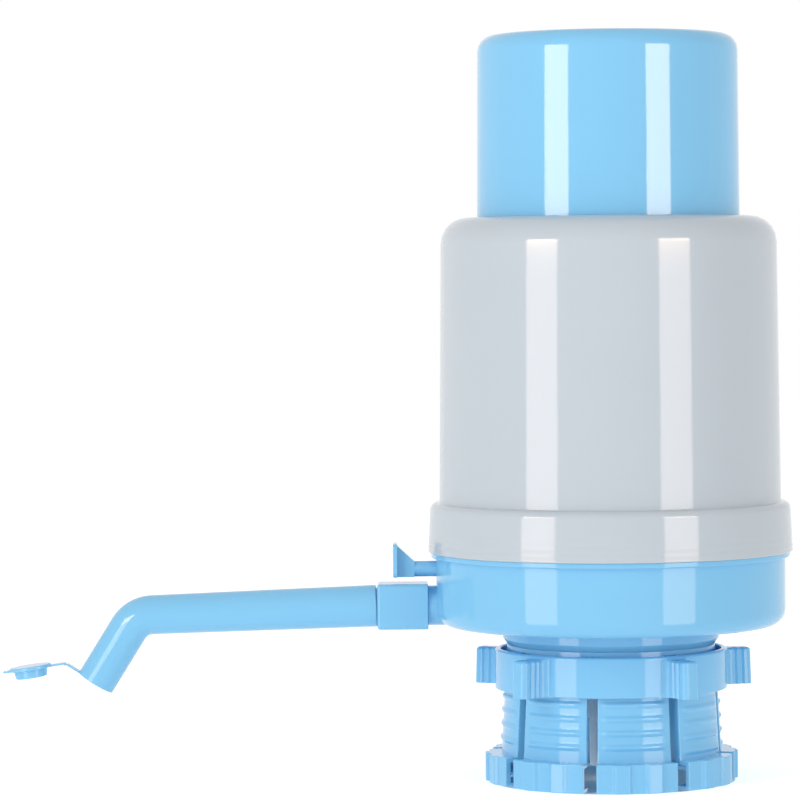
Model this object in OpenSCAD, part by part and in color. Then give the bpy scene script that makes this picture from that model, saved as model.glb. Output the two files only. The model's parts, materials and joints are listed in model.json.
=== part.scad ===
// Hand pump for a large water jug. The cap works a bellows inside the cover, the air goes through the
// dish and the collet into the jug, and the water rises through the spigot into the spout.
// The pump's axis is Z, the collet's flange stands on z = 0 and the spout points to -X.

/* [Press cap] */
// Diameter of the cap where it enters the cover
cap_d = 72; // [68:0.5:74]
// Height of the released cap above the cover
cap_rise = 49.7; // [44:0.1:60]
// How far the cap goes down
stroke = 38; // [20:1:40]
// How much the cap's radius shrinks towards its top
cap_draft = 0.4; // [0:0.1:1]
// Wall of the cap
cap_wall = 2; // [1.6:0.1:2.6]
// Radius of the cap's top edge
cap_edge_r = 4.5; // [3:0.5:8]
// Width of the ring that stops the cap under the cover's roof
stop_w = 2.4; // [1.5:0.1:3]
// Height of the skirt that guides the cap in the cover
skirt_h = 8; // [4:0.5:12]

/* [Cover] */
// Diameter of the cover just above its band
cover_d = 94; // [92:0.5:96]
// Height of the cover from its band to its roof
cover_h = 78.1; // [74:0.1:90]
// How much the cover's radius shrinks towards its roof
cover_draft = 1; // [0:0.1:1.5]
// Wall of the cover
cover_wall = 2; // [1.6:0.1:2.4]
// Radius of the cover's top edge
cover_edge_r = 7.3; // [5:0.1:9]
// Diameter of the band at its bottom
band_d = 100.2; // [99.5:0.1:103]
// Height of the band
band_h = 13.7; // [12.5:0.1:16]
// How much the band's radius shrinks towards its top
band_draft = 0.7; // [0:0.1:1]
// Radius of the band's top edge
band_edge_r = 2.5; // [1:0.1:3]

/* [Dish] */
// Diameter of the dish
dish_d = 96; // [95:0.5:97]
// Height of the dish from its underside to the cover
dish_h = 20.3; // [19.5:0.1:24]
// Wall of the dish
dish_wall = 2.2; // [1.8:0.1:2.8]
// Thickness of the dish's floor
floor_t = 2; // [1.6:0.1:2.2]
// Radius of the dish's bottom edge
dish_edge_r = 4.5; // [3:0.1:6]
// Height of the lip that the cover stands on
lip_h = 1.4; // [1:0.1:2]
// How far the lip stands out from the dish
lip_w = 1.3; // [0.5:0.1:1.4]
// Diameter of the foot ring under the dish
foot_d = 57; // [56.8:0.1:60]
// Height of the foot ring
foot_h = 5.1; // [4:0.1:8]

/* [Collet] */
// Bore that goes over the jug's neck
neck_bore_d = 55.4; // [54:0.1:55.8]
// Height of the fingers from the flange's underside
collet_h = 37.5; // [34:0.1:44]
// Diameter over the fingers at their roots
root_d = 57.2; // [57:0.1:58]
// Diameter over the fingers at the flange
flare_d = 60.4; // [59.6:0.1:61]
// Number of fingers
finger_count = 8; // [4:1:10]
// Direction of the first slot from +X
first_slot_angle = -13; // [-22:0.1:22]
// Width of the slots between the fingers
slot_w = 2.9; // [1.5:0.1:4]
// Diameter of the flange
flange_d = 67.8; // [66:0.1:72]
// Height of the flange
flange_h = 7.8; // [6:0.1:10]
// How far the flange's lobes stand out
lobe_rise = 0.9; // [0.2:0.1:1.2]
// Spacing of the ribs on the fingers
rib_pitch = 3.8; // [3:0.1:5]
// How far the ribs stand out
rib_rise = 0.6; // [0.3:0.1:0.8]

/* [Clamp nut] */
// Diameter of the nut's ring
nut_d = 63.8; // [63.6:0.1:67]
// Height of the nut
nut_h = 11; // [8:0.1:13]
// Diameter over the lugs
lug_tip_d = 79.2; // [74:0.1:86]
// Width of a lug
lug_w = 5.4; // [4:0.1:7]
// Number of lugs
lug_count = 5; // [3:1:6]

/* [Outlet] */
// Height of the outlet above the dish's underside
outlet_rise = 5.6; // [5.6:0.1:6]
// Diameter of the outlet neck
neck_d = 10.9; // [10.6:0.1:11.4]
// Length of the outlet neck outside the dish
neck_len = 2.2; // [1.5:0.1:5]
// Width and height of the square socket
socket_w = 12.5; // [12:0.1:13]
// Length of the socket
socket_len = 14; // [12:0.5:20]
// Bore of the water channel in the dish
channel_d = 5.2; // [4:0.1:5.4]

/* [Spout] */
// Diameter of the spout at the socket
spout_d = 11.5; // [10.8:0.1:12]
// Diameter of the spout at its mouth
spout_tip_d = 10.7; // [10.6:0.1:11.2]
// Bore of the spout
spout_bore_d = 9.3; // [7.4:0.1:9.4]
// Length of the long straight stretch
spout_run = 61.8; // [40:0.1:90]
// Length of the stretch from the bend to the mouth
spout_drop = 17.5; // [12:0.1:25]
// Radius of the bend at the middle of the tube
bend_r = 8; // [7:0.1:12]
// Slope of the long stretch in degrees
droop = 1.85; // [0:0.05:6]
// Slope of the mouth stretch in degrees
mouth_angle = 58; // [40:1:80]

/* [Spout plug] */
// Diameter of the plug's disc
plug_disc_d = 11.5; // [10.8:0.1:13]
// Thickness of the plug's disc
plug_disc_t = 1; // [0.8:0.1:1.5]
// Depth of the rim that goes into the mouth
plug_rim_h = 2.2; // [1.5:0.1:2.6]
// Length of the pull tab
tab_len = 1.8; // [1:0.1:5]
// Width of the strap and the pull tab
strap_w = 3.4; // [2:0.1:5]
// Distance from the mouth's middle to the strap's hinge
strap_reach = 9.7; // [9:0.1:13]
// Angle by which the plug stands open
plug_open = 140; // [90:1:150]

/* [Vent button] */
// Height of the button's stem above the dish's underside
vent_rise = 15.7; // [15.5:0.1:16.5]
// Diameter of the button's stem
vent_stem_d = 4.3; // [3.6:0.1:4.6]
// Distance from the band to the face of the thumb plate
vent_reach = 9.7; // [7.9:0.1:13.9]
// How far the button is pressed in
vent_stroke = 3; // [1.5:0.1:3.2]
// Height of the thumb plate
thumb_h = 9.2; // [7:0.1:12]
// Width of the thumb plate
thumb_w = 10; // [6:0.1:14]
// Thickness of the thumb plate
thumb_t = 1.2; // [1:0.1:2]

/* [Bellows and spring] */
// Number of folds in the bellows
fold_count = 8; // [5:1:9]
// Depth of a fold
fold_depth = 5.5; // [4:0.1:7]
// Thickness of the bellows' rubber
rubber_t = 1.2; // [0.9:0.1:1.4]
// Thickness of the pusher plate and of the valve deck
plate_t = 2.4; // [2:0.1:2.8]
// Diameter of the return spring at the middle of its wire
spring_d = 40; // [32:0.5:46]
// Diameter of the spring's wire
wire_d = 1.6; // [1.2:0.1:2]
// Number of turns in the spring
spring_turns = 8; // [5:1:10]

/* [Valves] */
// Diameter of the valve discs
valve_d = 18; // [15:0.5:24]
// How far the valves open
valve_lift = 1.5; // [0.8:0.1:2.5]

/* [Dip tube spigot] */
// Diameter over which a dip tube is pushed
spigot_d = 12; // [11:0.1:13]
// Length that the dip tube covers
spigot_len = 13; // [8:0.5:18]
// Height of the spigot's end above the flange's underside
spigot_end_z = 4; // [2:0.5:10]

/* [Hidden] */
$fn = 96;

// Overrun of every cut, and how deep joined shapes sink into each other
cut = 0.5;
sink = 0.3;
// Steps in a profile's quarter arcs
arc_steps = 8;

// Clearances
run_gap = 0.05;
fit_gap = 0.1;
stop_gap = 0.2;
mouth_gap = 0.35;
guide_gap = 0.5;
bellows_gap = 1.4;
nut_gap = 1.2;

// Radii of the shells
cap_r = cap_d / 2;
cap_top_r = cap_r - cap_draft;
cap_bore_r = cap_r - cap_wall;
cover_r = cover_d / 2;
cover_top_r = cover_r - cover_draft;
mouth_r = cap_r + mouth_gap;
stop_r = cap_r + stop_w;
guide_r = cover_top_r - cover_wall - guide_gap;
skirt_t = 1.6;
skirt_bore_r = guide_r - skirt_t;
bellows_r = skirt_bore_r - bellows_gap;
plate_r = bellows_r - rubber_t - fit_gap;
band_r = band_d / 2;
band_bore_r = band_r - dish_wall;
collar_r = band_bore_r - mouth_gap;
collar_t = 2.55;
collar_bore_r = collar_r - collar_t;
cover_bore_r = cover_r - cover_wall;
// The roof's edge is limited by the flat that is left beside the mouth
roof_edge_r = min(cover_edge_r, cover_top_r - mouth_r);
ledge_bore_r = collar_bore_r - dish_wall;
dish_r = dish_d / 2;
dish_bore_r = dish_r - dish_wall;
lip_r = dish_r + lip_w;
foot_r = foot_d / 2;
foot_flare_w = 1.2;
foot_flare_h = 1.6;

// Levels along the pump's axis
dish_z = collet_h + foot_h;
floor_z = dish_z + floor_t;
lip_z = dish_z + dish_h;
collar_h = 9.7;
collar_z = lip_z + collar_h;
clamp_z = collar_z + rubber_t;
band_z = lip_z + band_h;
roof_z = band_z + cover_h;
cap_z = roof_z + cap_rise;
stop_z = roof_z - cover_wall - stop_gap;
guide_z = roof_z - roof_edge_r - stop_gap;
land_z = guide_z - cap_wall;
plate_z = land_z - rubber_t - plate_t;
nut_z = collet_h - nut_gap - nut_h;
ledge_z = collar_z - plate_t;
deck_z = collar_z;

// The collet, its seat and what is under the dish
neck_bore_r = neck_bore_d / 2;
root_r = root_d / 2;
flare_r = flare_d / 2;
flange_r = flange_d / 2;
lobe_r = flange_r + lobe_rise;
seat_web = 1.3;
seat_z = collet_h - seat_web;
seat_w = 2.9;
seat_bore_r = neck_bore_r - seat_w;
tenon_t = 2;
tenon_r = seat_bore_r + tenon_t;
foot_bore_r = tenon_r + fit_gap;
gasket_h = 2;
finger_step = 360 / finger_count;
flange_slot_step = 0.6;
flange_slot_rise = 0.3;
flange_slot_w = slot_w + flange_slot_step;
edge_chamfer = 0.4;
rib_r = 1.3;
rib_sides = 24;
rib_margin = 1.1;
left_rib_z = 11.9;
rib_top_margin = 1.4;
lobe_share = 0.18;
lobe_flank = 0.4;
lobe_inset = 0.15;
lobe_place_shares = [1 / 3, 2 / 3];

// The clamp nut
nut_r = nut_d / 2;
lug_tip_r = lug_tip_d / 2;
nut_wall = 1.6;
nut_bore_r = nut_r - nut_wall;
nut_edge_r = 0.7;
ridge_z = nut_z + nut_h / 2;
ridge_half_h = 0.4;
ridge_root_half_h = 1.2;
first_lug_angle = 84;
lug_drop = 0.9;
lug_draft = 0.3;
lug_edge_r = 1;
lug_corner_r = 0.8;
lug_fillet_r = 2;
groove_r = 0.55;
groove_place_shares = [0.3, 0.65];

// The water's way out
outlet_z = dish_z + outlet_rise;
neck_r = neck_d / 2;
channel_r = channel_d / 2;
arm_r = outlet_z - floor_z;
leg_r = 4.6;
leg_bore_step = 0.4;
leg_bore_r = channel_r + leg_bore_step;
leg_len = 8;
leg_collar_r = 7.5;
leg_collar_t = 1.8;
arm_seat_len = 5;
neck_x = dish_r + neck_len;
socket_x = neck_x + socket_len;
tenon_len = 5;
tenon_step = 1.05;
neck_tenon_r = neck_r - tenon_step;
socket_web = 1.2;
socket_edge_r = 1.3;
socket_bore_r = 5;
neck_bore_out_r = channel_r + sink;
ring_wire_r = 0.62;
leg_ring_wire_r = 0.78;

// The spout
spout_r = spout_d / 2;
tip_r = spout_tip_d / 2;
spout_bore_r = spout_bore_d / 2;
spout_pin_r = socket_bore_r - run_gap;
spout_pin_bore_r = 3;
spout_pin_len = socket_len - tenon_len - socket_web - 2 * fit_gap;
bend_angle = mouth_angle - droop;
// The tube gets thinner by this much at each end of its bend
tube_step = 0.03;
strap_t = 0.5;
plug_rim_r = spout_bore_r - run_gap;
plug_rim_taper = 0.275;
plug_rim_tip_r = plug_rim_r - plug_rim_taper;
plug_rim_wall = 1;
plug_pivot_z = fit_gap / 2;

// The vent button
vent_z = dish_z + vent_rise;
vent_stem_r = vent_stem_d / 2;
vent_hole_r = vent_stem_r + run_gap;
vent_boss_len = 2.8;
vent_seat_x = dish_bore_r - vent_boss_len;
vent_boss_r = 4.4;
vent_seal_t = 1.5;
vent_seal_r = 3.9;
vent_clip_t = 0.8;
vent_clip_r = 3.6;
vent_spring_wire_d = 0.5;
vent_spring_r = 2.9;
vent_spring_turns = 4;
// Length of the vent spring when the button is pressed in
vent_closed_len = 3.2;
vent_spring_len = vent_closed_len + vent_stroke;
vent_clip_x = vent_seat_x - fit_gap - vent_seal_t;
vent_spring_x = vent_clip_x - vent_clip_t - fit_gap;
vent_post_x = vent_spring_x - vent_spring_len - fit_gap;
vent_post_t = 1.8;
vent_post_w = 12;
vent_end_x = vent_post_x - vent_post_t / 2;
gusset_foot = 4.7;

// The bellows, the spring and the valves
spring_r = spring_d / 2;
wire_r = wire_d / 2;
spring_seat_h = 1.5;
spring_seat_t = 1.6;
dead_turns = 1;
wire_sides = 6;
rings_per_turn = 16;
spring_seat_r = (spring_r - wire_r) * cos(180 / rings_per_turn) - stop_gap;
// Length of the sleeve that guides the spring and stops the stroke on the deck's ring
sleeve_h = plate_z - deck_z - spring_seat_h - stroke - stop_gap;
valve_r = valve_d / 2;
valve_t = 1.2;
valve_stem_r = 1.6;
valve_barb_r = 2.6;
valve_barb_h = 1.6;
port_count = 6;
port_r = 1.7;
port_inset = 3;
port_place_r = valve_r - port_inset;
air_port_r = 2.5;
air_port_place_r = 15;
snap_h = 5;
deck_rib_t = 1.2;
deck_rib_h = 3;

// The dip tube spigot
spigot_r = spigot_d / 2;
spigot_bore_r = 4;
spigot_wall_step = 0.5;
spigot_flange_r = 9;
spigot_flange_t = 1.8;

// Points of an arc about [x, z] from angle a to angle b
function arc(x, z, r, a, b) = [
    for (i = [0 : arc_steps])
        let (t = a + (b - a) * i / arc_steps)
            [x + r * cos(t), z + r * sin(t)]
];

// Radius over the fingers, without their ribs, at height z
function finger_r(z) = flare_r + (root_r - flare_r) * (z - flange_h) / (collet_h - flange_h);

// A pipe along +Z from z = 0, or a solid rod where its bore is 0
module pipe(r, bore, h) {
    difference() {
        cylinder(r = r, h = h);
        if (bore > 0) translate([0, 0, -cut]) cylinder(r = bore, h = h + 2 * cut);
    }
}

// Turns a shape's +Z to point along -X, with the place x counted outwards from the pump's axis
module outwards(x, z) {
    translate([-x, 0, z]) rotate([0, -90, 0]) children();
}

// An O-ring about Z
module o_ring(r, wire) {
    rotate_extrude() translate([r, 0]) circle(r = wire);
}

// A square of width w about the origin with rounded corners
module rounded_square(w, d, r) {
    square([w - 2 * r, d], center = true);
    square([w, d - 2 * r], center = true);
    for (x = [-1, 1], y = [-1, 1]) translate([x * (w / 2 - r), y * (d / 2 - r)]) circle(r = r);
}

// A coil spring about +Z with close turns at both ends
module coil_spring(r, wire, len, turns) {
    count = turns * rings_per_turn;
    dead = dead_turns * rings_per_turn;
    close = 2 * wire + sink;
    lift = len - 2 * wire - 2 * close * dead_turns;
    function height(i) =
        i < dead ? close * i / rings_per_turn
        : i > count - dead ? lift + close * (i - count + 2 * dead) / rings_per_turn
        : close * dead_turns + lift * (i - dead) / (count - 2 * dead);
    points = [
        for (i = [0 : count], k = [0 : wire_sides - 1])
            let (a = 360 * i / rings_per_turn, b = 360 * k / wire_sides, q = r + wire * cos(b))
                [q * cos(a), q * sin(a), wire + height(i) + wire * sin(b)]
    ];
    side_faces = [
        for (i = [0 : count - 1], k = [0 : wire_sides - 1], half = [0, 1])
            let (n = (k + 1) % wire_sides, p = i * wire_sides, q = p + wire_sides)
                half == 0 ? [p + k, q + n, q + k] : [p + k, p + n, q + n]
    ];
    start_faces = [for (k = [1 : wire_sides - 2]) [0, k + 1, k]];
    last = count * wire_sides;
    end_faces = [for (k = [1 : wire_sides - 2]) [last, last + k, last + k + 1]];
    polyhedron(points = points, faces = concat(side_faces, start_faces, end_faces));
}

// The ports and the stem hole of a mushroom valve, cut through a plate that lies on z = 0
module valve_holes(t) {
    translate([0, 0, -cut]) cylinder(r = valve_stem_r + run_gap, h = t + 2 * cut);
    for (i = [0 : port_count - 1])
        rotate([0, 0, 360 * i / port_count])
            translate([port_place_r, 0, -cut]) cylinder(r = port_r, h = t + 2 * cut);
}

// A mushroom valve under a plate that lies on z = 0
module mushroom_valve(t) {
    translate([0, 0, -fit_gap]) rotate_extrude() polygon([
        [0, -valve_t],
        [valve_stem_r, -valve_t],
        [valve_r, -valve_t / 2],
        [valve_r, 0],
        [valve_stem_r, 0],
        [valve_stem_r, t + valve_lift + 2 * fit_gap],
        [valve_barb_r, t + valve_lift + 2 * fit_gap],
        [valve_stem_r / 2, t + valve_lift + 2 * fit_gap + valve_barb_h],
        [0, t + valve_lift + 2 * fit_gap + valve_barb_h]
    ]);
}

module press_cap() {
    color("#84c9f0") rotate_extrude() polygon(concat(
        [[0, cap_z - cap_wall], [0, cap_z]],
        arc(cap_top_r - cap_edge_r, cap_z - cap_edge_r, cap_edge_r, 90, 0),
        [
            [cap_r, roof_z],
            [cap_r, stop_z],
            [stop_r, stop_z],
            [stop_r, stop_z - cap_wall],
            [guide_r, guide_z],
            [guide_r, land_z - skirt_h],
            [skirt_bore_r, land_z - skirt_h],
            [skirt_bore_r, land_z],
            [cap_bore_r, land_z],
            [cap_bore_r, roof_z]
        ],
        arc(cap_top_r - cap_edge_r, cap_z - cap_edge_r, cap_edge_r - cap_wall, 0, 90)
    ));
}

module pusher_plate() {
    snap_r = cap_bore_r - fit_gap;
    color("#e8eef2") translate([0, 0, plate_z]) difference() {
        union() {
            cylinder(r = plate_r, h = plate_t);
            pipe(snap_r, snap_r - cap_wall, plate_t + rubber_t + snap_h);
            translate([0, 0, -sleeve_h])
                pipe(spring_seat_r, spring_seat_r - spring_seat_t, sleeve_h + sink);
        }
        valve_holes(plate_t);
    }
}

module inlet_valve() {
    color("#5b6770") translate([0, 0, plate_z]) mushroom_valve(plate_t);
}

module outer_cover() {
    band_top_r = band_r - band_draft;
    color("#c5cdd3") rotate_extrude() polygon(concat(
        [[band_bore_r, lip_z], [band_r, lip_z]],
        arc(band_top_r - band_edge_r, band_z - band_edge_r, band_edge_r, 0, 90),
        [[cover_r, band_z]],
        arc(cover_top_r - roof_edge_r, roof_z - roof_edge_r, roof_edge_r, 0, 90),
        [[mouth_r, roof_z], [mouth_r, roof_z - cover_wall]],
        arc(cover_top_r - roof_edge_r, roof_z - roof_edge_r, roof_edge_r - cover_wall, 90, 0),
        [[cover_bore_r, clamp_z], [band_bore_r, clamp_z]]
    ));
}

module bellows() {
    flange_r = band_bore_r - fit_gap;
    cuff_z = plate_z - rubber_t;
    step = (cuff_z - clamp_z) / (2 * fold_count);
    folds = [for (i = [0 : 2 * fold_count]) [bellows_r - fold_depth * (i % 2), clamp_z + step * i]];
    inside = [for (i = [2 * fold_count : -1 : 0]) [folds[i][0] - rubber_t, folds[i][1]]];
    lip_r = cap_bore_r + cap_wall;
    color("#8d979e") rotate_extrude() polygon(concat(
        [[bellows_r - rubber_t, collar_z], [flange_r, collar_z], [flange_r, clamp_z]],
        folds,
        [[bellows_r, land_z], [lip_r, land_z], [lip_r, land_z - rubber_t]],
        [[bellows_r - rubber_t, land_z - rubber_t]],
        inside
    ));
}

module return_spring() {
    color("#b9bdc0") translate([0, 0, deck_z + stop_gap])
        coil_spring(spring_r, wire_r, plate_z - deck_z - 2 * stop_gap, spring_turns);
}

module valve_deck() {
    deck_r = collar_bore_r - fit_gap;
    rib_r = ledge_bore_r - stop_gap;
    color("#e8eef2") translate([0, 0, ledge_z]) {
        difference() {
            union() {
                cylinder(r = deck_r, h = plate_t);
                translate([0, 0, plate_t - sink])
                    pipe(spring_seat_r, spring_seat_r - spring_seat_t, spring_seat_h + sink);
                for (i = [0 : port_count - 1])
                    rotate([0, 0, 360 * (i + 1 / 2) / port_count])
                        translate([valve_r + valve_t, -deck_rib_t / 2, -deck_rib_h])
                            cube([rib_r - valve_r - valve_t, deck_rib_t, deck_rib_h + sink]);
            }
            valve_holes(plate_t);
        }
    }
}

module delivery_valve() {
    color("#5b6770") translate([0, 0, ledge_z]) mushroom_valve(plate_t);
}

module base_dish() {
    boss_x = dish_r - dish_wall - arm_seat_len;
    color("#84c9f0") difference() {
        union() {
            rotate_extrude() polygon(concat(
                [
                    [0, dish_z],
                    [foot_bore_r, dish_z],
                    [foot_bore_r, collet_h],
                    [foot_r, collet_h],
                    [foot_r, dish_z - foot_flare_h],
                    [foot_r + foot_flare_w, dish_z]
                ],
                arc(dish_r - dish_edge_r, dish_z + dish_edge_r, dish_edge_r, -90, 0),
                [
                    [dish_r, lip_z - lip_h],
                    [lip_r, lip_z - lip_h],
                    [lip_r, lip_z],
                    [collar_r, lip_z],
                    [collar_r, collar_z],
                    [collar_bore_r, collar_z],
                    [collar_bore_r, ledge_z],
                    [ledge_bore_r, ledge_z],
                    [ledge_bore_r, lip_z],
                    [dish_bore_r, lip_z - dish_wall],
                    [dish_bore_r, floor_z],
                    [0, floor_z]
                ]
            ));
            outwards(boss_x, outlet_z) cylinder(r = neck_r, h = neck_x - boss_x);
            outwards(neck_x - sink, outlet_z) cylinder(r = neck_tenon_r, h = tenon_len + sink);
            outwards(vent_seat_x, vent_z)
                cylinder(r = vent_boss_r, h = dish_bore_r + dish_wall / 2 - vent_seat_x);
            vent_post();
        }
        translate([0, 0, dish_z - cut]) cylinder(r = leg_r + fit_gap, h = floor_t + 2 * cut);
        translate([0, 0, floor_z - 2 * leg_ring_wire_r])
            cylinder(r = leg_r + 2 * leg_ring_wire_r + fit_gap, h = floor_t + cut);
        for (i = [0 : port_count - 1])
            rotate([0, 0, 360 * (i + 1 / 2) / port_count])
                translate([air_port_place_r, 0, dish_z - cut])
                    cylinder(r = air_port_r, h = floor_t + 2 * cut);
        outwards(boss_x - cut, outlet_z)
            cylinder(r = neck_bore_out_r, h = neck_x - boss_x + tenon_len + 2 * cut);
        outwards(boss_x - cut, outlet_z) cylinder(r = arm_r + run_gap, h = arm_seat_len + cut);
        outwards(boss_x - cut, outlet_z)
            cylinder(r = arm_r + 2 * ring_wire_r + run_gap, h = 2 * ring_wire_r + fit_gap + cut);
        outwards(vent_seat_x - cut, vent_z) cylinder(r = vent_hole_r, h = dish_r - vent_seat_x + 2 * cut);
    }
}

// The post in the dish that holds the inner end of the vent button and of its spring
module vent_post() {
    post_h = vent_z + vent_boss_r - floor_z;
    arch_r = arm_r + fit_gap;
    difference() {
        translate([-vent_post_x, -vent_post_w / 2, floor_z - sink])
            cube([vent_post_t, vent_post_w, post_h + sink]);
        outwards(vent_post_x - vent_post_t - cut, vent_z)
            cylinder(r = vent_hole_r, h = vent_post_t + 2 * cut);
        outwards(vent_post_x - vent_post_t - cut, outlet_z) cylinder(r = arch_r, h = vent_post_t + 2 * cut);
        translate([-vent_post_x - cut, -arch_r, floor_z])
            cube([vent_post_t + 2 * cut, 2 * arch_r, outlet_z - floor_z]);
    }
}

module water_elbow() {
    boss_x = dish_r - dish_wall - arm_seat_len;
    leg_z = dish_z - leg_len;
    arm_len = boss_x + arm_seat_len - fit_gap;
    color("#e8eef2") difference() {
        union() {
            translate([0, 0, leg_z]) cylinder(r = leg_r, h = outlet_z + arm_r + stop_gap - leg_z);
            translate([0, 0, floor_z]) cylinder(r = leg_collar_r, h = leg_collar_t);
            outwards(0, outlet_z) cylinder(r = arm_r, h = arm_len);
        }
        translate([0, 0, leg_z - cut]) cylinder(r = leg_bore_r, h = outlet_z + channel_r - leg_z + cut);
        outwards(0, outlet_z) cylinder(r = channel_r, h = arm_len + cut);
    }
}

module elbow_seal() {
    color("#3f464b") translate([0, 0, floor_z - leg_ring_wire_r])
        o_ring(leg_r + leg_ring_wire_r + run_gap / 2, leg_ring_wire_r - run_gap);
}

module outlet_seal() {
    boss_x = dish_r - dish_wall - arm_seat_len;
    color("#3f464b") outwards(boss_x + ring_wire_r + run_gap, outlet_z)
        o_ring(arm_r + ring_wire_r + run_gap / 2, ring_wire_r - run_gap);
}

module dip_tube_spigot() {
    step_z = spigot_end_z + spigot_len;
    body_r = spigot_r + spigot_wall_step;
    color("#dfe7ec") difference() {
        union() {
            translate([0, 0, spigot_end_z]) cylinder(r = spigot_r, h = spigot_len);
            translate([0, 0, step_z]) cylinder(r = body_r, h = dish_z - step_z);
            translate([0, 0, dish_z - spigot_flange_t]) cylinder(r = spigot_flange_r, h = spigot_flange_t);
        }
        translate([0, 0, spigot_end_z - cut])
            cylinder(r = spigot_bore_r, h = dish_z - spigot_end_z + 2 * cut);
        translate([0, 0, dish_z - leg_len]) cylinder(r = leg_r + run_gap, h = leg_len + cut);
    }
}

module neck_gasket() {
    color("#eef1f2") translate([0, 0, seat_z - gasket_h]) pipe(neck_bore_r - fit_gap, seat_bore_r, gasket_h);
}

// The outline of the ribs on a finger, with the lowest crest at height z
module rib_outline(z) {
    count = floor((seat_z - rib_top_margin - z) / rib_pitch);
    intersection() {
        for (i = [0 : count]) {
            crest_z = z + i * rib_pitch;
            translate([finger_r(crest_z) + rib_rise - rib_r, crest_z]) circle(r = rib_r, $fn = rib_sides);
        }
        polygon([
            [finger_r(flange_h) - sink, flange_h],
            [finger_r(flange_h) + rib_r, flange_h],
            [finger_r(collet_h) + rib_r, collet_h],
            [finger_r(collet_h) - sink, collet_h]
        ]);
    }
}

// A grip lobe of the flange in plan, pointing to +X
module lobe_outline() {
    half_w = flange_r * finger_step * lobe_share * PI / 360;
    polygon([
        [flange_r - lobe_rise, -half_w],
        [flange_r, -half_w],
        [lobe_r, lobe_flank - half_w],
        [lobe_r, half_w - lobe_flank],
        [flange_r, half_w],
        [flange_r - lobe_rise, half_w]
    ]);
}

module collet() {
    edge_angle = (rib_margin + slot_w / 2) / flare_r * 180 / PI;
    color("#84c9f0") {
        difference() {
            rotate_extrude() polygon([
                [neck_bore_r, 0],
                [flange_r - edge_chamfer, 0],
                [flange_r, edge_chamfer],
                [flange_r, flange_h - edge_chamfer],
                [flange_r - edge_chamfer, flange_h],
                [flare_r, flange_h],
                [root_r, collet_h],
                [tenon_r, collet_h],
                [tenon_r, dish_z],
                [seat_bore_r, dish_z],
                [seat_bore_r, seat_z],
                [neck_bore_r, seat_z]
            ]);
            for (i = [0 : finger_count - 1]) rotate([0, 0, first_slot_angle + finger_step * i]) {
                translate([seat_bore_r + sink, -slot_w / 2, -cut]) cube([flange_r, slot_w, seat_z + cut]);
                translate([seat_bore_r + sink, -flange_slot_w / 2, -cut])
                    cube([flange_r, flange_slot_w, flange_h + flange_slot_rise + cut]);
            }
        }
        for (i = [0 : finger_count - 1]) rotate([0, 0, first_slot_angle + finger_step * i]) {
            // The collet is moulded in two halves, and the ribs of one lie half a pitch below the other's
            on_left = i >= finger_count / 2 - 1 && i < finger_count - 1;
            rotate([0, 0, edge_angle]) rotate_extrude(angle = finger_step - 2 * edge_angle)
                rib_outline(on_left ? left_rib_z : left_rib_z - rib_pitch / 2);
            for (share = lobe_place_shares)
                rotate([0, 0, finger_step * share]) translate([0, 0, lobe_inset])
                    linear_extrude(flange_h - 2 * lobe_inset) lobe_outline();
        }
    }
}

module lug_outline() {
    reach = lug_tip_r - nut_r;
    difference() {
        union() {
            translate([nut_r + reach / 2 - nut_wall / 4, 0])
                rounded_square(reach + nut_wall / 2 + lug_edge_r, lug_w, lug_corner_r);
            translate([nut_bore_r + nut_wall / 2, -lug_w / 2 - lug_fillet_r])
                square([nut_wall / 2 + lug_fillet_r, lug_w + 2 * lug_fillet_r]);
        }
        for (side = [-1, 1]) {
            translate([nut_r + lug_fillet_r, side * (lug_w / 2 + lug_fillet_r)]) circle(r = lug_fillet_r);
            for (share = groove_place_shares)
                translate([nut_r + lug_fillet_r + share * (reach - lug_fillet_r), side * lug_w / 2])
                    circle(r = groove_r);
        }
    }
}

module clamp_nut() {
    ridge_r = finger_r(ridge_z - ridge_half_h) + rib_rise + fit_gap;
    top_z = nut_z + nut_h;
    lug_top_z = top_z - lug_drop;
    color("#84c9f0") {
        rotate_extrude() polygon(concat(
            [
                [nut_bore_r, nut_z],
                [nut_r - edge_chamfer, nut_z],
                [nut_r, nut_z + edge_chamfer]
            ],
            arc(nut_r - nut_edge_r, top_z - nut_edge_r, nut_edge_r, 0, 90),
            [
                [nut_bore_r, top_z],
                [nut_bore_r, ridge_z + ridge_root_half_h],
                [ridge_r, ridge_z + ridge_half_h],
                [ridge_r, ridge_z - ridge_half_h],
                [nut_bore_r, ridge_z - ridge_root_half_h]
            ]
        ));
        intersection() {
            translate([0, 0, nut_z]) for (i = [0 : lug_count - 1])
                rotate([0, 0, first_lug_angle + 360 * i / lug_count]) linear_extrude(nut_h) lug_outline();
            rotate_extrude() polygon(concat(
                [[nut_bore_r + nut_wall / 2, nut_z], [lug_tip_r + lug_draft, nut_z]],
                arc(lug_tip_r - lug_edge_r, lug_top_z - lug_edge_r, lug_edge_r, 0, 90),
                [[nut_bore_r + nut_wall / 2, lug_top_z]]
            ));
        }
    }
}

module outlet_socket() {
    color("#84c9f0") difference() {
        outwards(neck_x, outlet_z) linear_extrude(socket_len)
            rounded_square(socket_w, socket_w, socket_edge_r);
        outwards(neck_x - cut, outlet_z) cylinder(r = neck_tenon_r + run_gap, h = tenon_len + fit_gap + cut);
        outwards(neck_x, outlet_z) cylinder(r = spout_pin_bore_r, h = socket_len);
        outwards(socket_x - spout_pin_len - fit_gap, outlet_z)
            cylinder(r = socket_bore_r, h = spout_pin_len + fit_gap + cut);
    }
}

// The spout's own direction: +Z along the long stretch, +X on its upper side
module along_spout() {
    translate([-socket_x - stop_gap, 0, outlet_z]) rotate([0, -90 - droop, 0]) children();
}

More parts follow.
